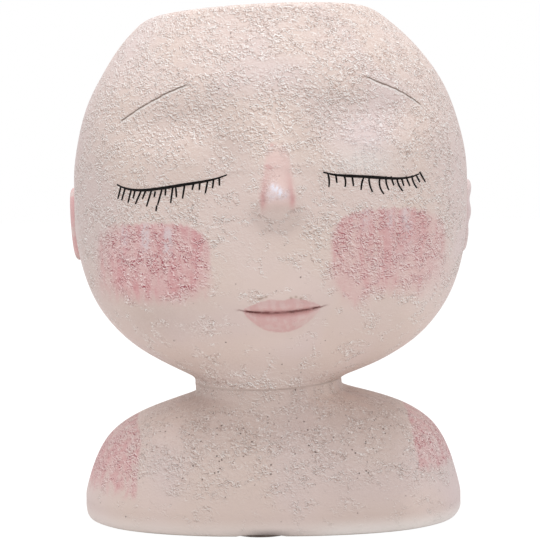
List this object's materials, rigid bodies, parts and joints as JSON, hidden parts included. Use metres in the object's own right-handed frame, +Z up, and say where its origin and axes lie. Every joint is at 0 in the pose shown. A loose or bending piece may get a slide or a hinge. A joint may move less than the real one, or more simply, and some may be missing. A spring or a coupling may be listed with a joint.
{
  "type": "head planter",
  "caption": "Round doll-like head planter, hollow and open at the crown, on a hollow pair of shoulders with a drain stopper and stick-on foot pads.",
  "frame": {"origin": "on the table, in the plane of the four pads' undersides, under the middle of the shoulders and of the whole planter", "axes": "+Z up; the face looks along -Y; +X is the side to the viewer's right when facing the face"},
  "size_m": [0.1358, 0.1357, 0.1705],
  "materials": {
    "head_resin": "matte, painted pale skin pink over a finely wrinkled casting",
    "bond_filler": "matte",
    "base_resin": "matte, painted pale skin pink over a finely wrinkled casting",
    "plug_rubber": "satin",
    "pad_foam": "matte"
  },
  "bodies": {
    "planter": {"head_bowl": "head_resin", "neck_bond": "bond_filler", "shoulder_base": "base_resin", "foot_pad_front": "pad_foam", "foot_pad_rear": "pad_foam", "foot_pad_left": "pad_foam", "foot_pad_right": "pad_foam"},
    "plug": {"drain_plug": "plug_rubber"}
  },
  "joints": [
    {"name": "plug_pull", "type": "slide", "parent": "planter", "child": "plug", "axis": [0, 0, -1], "range_m": [0, 0.02]}
  ]
}
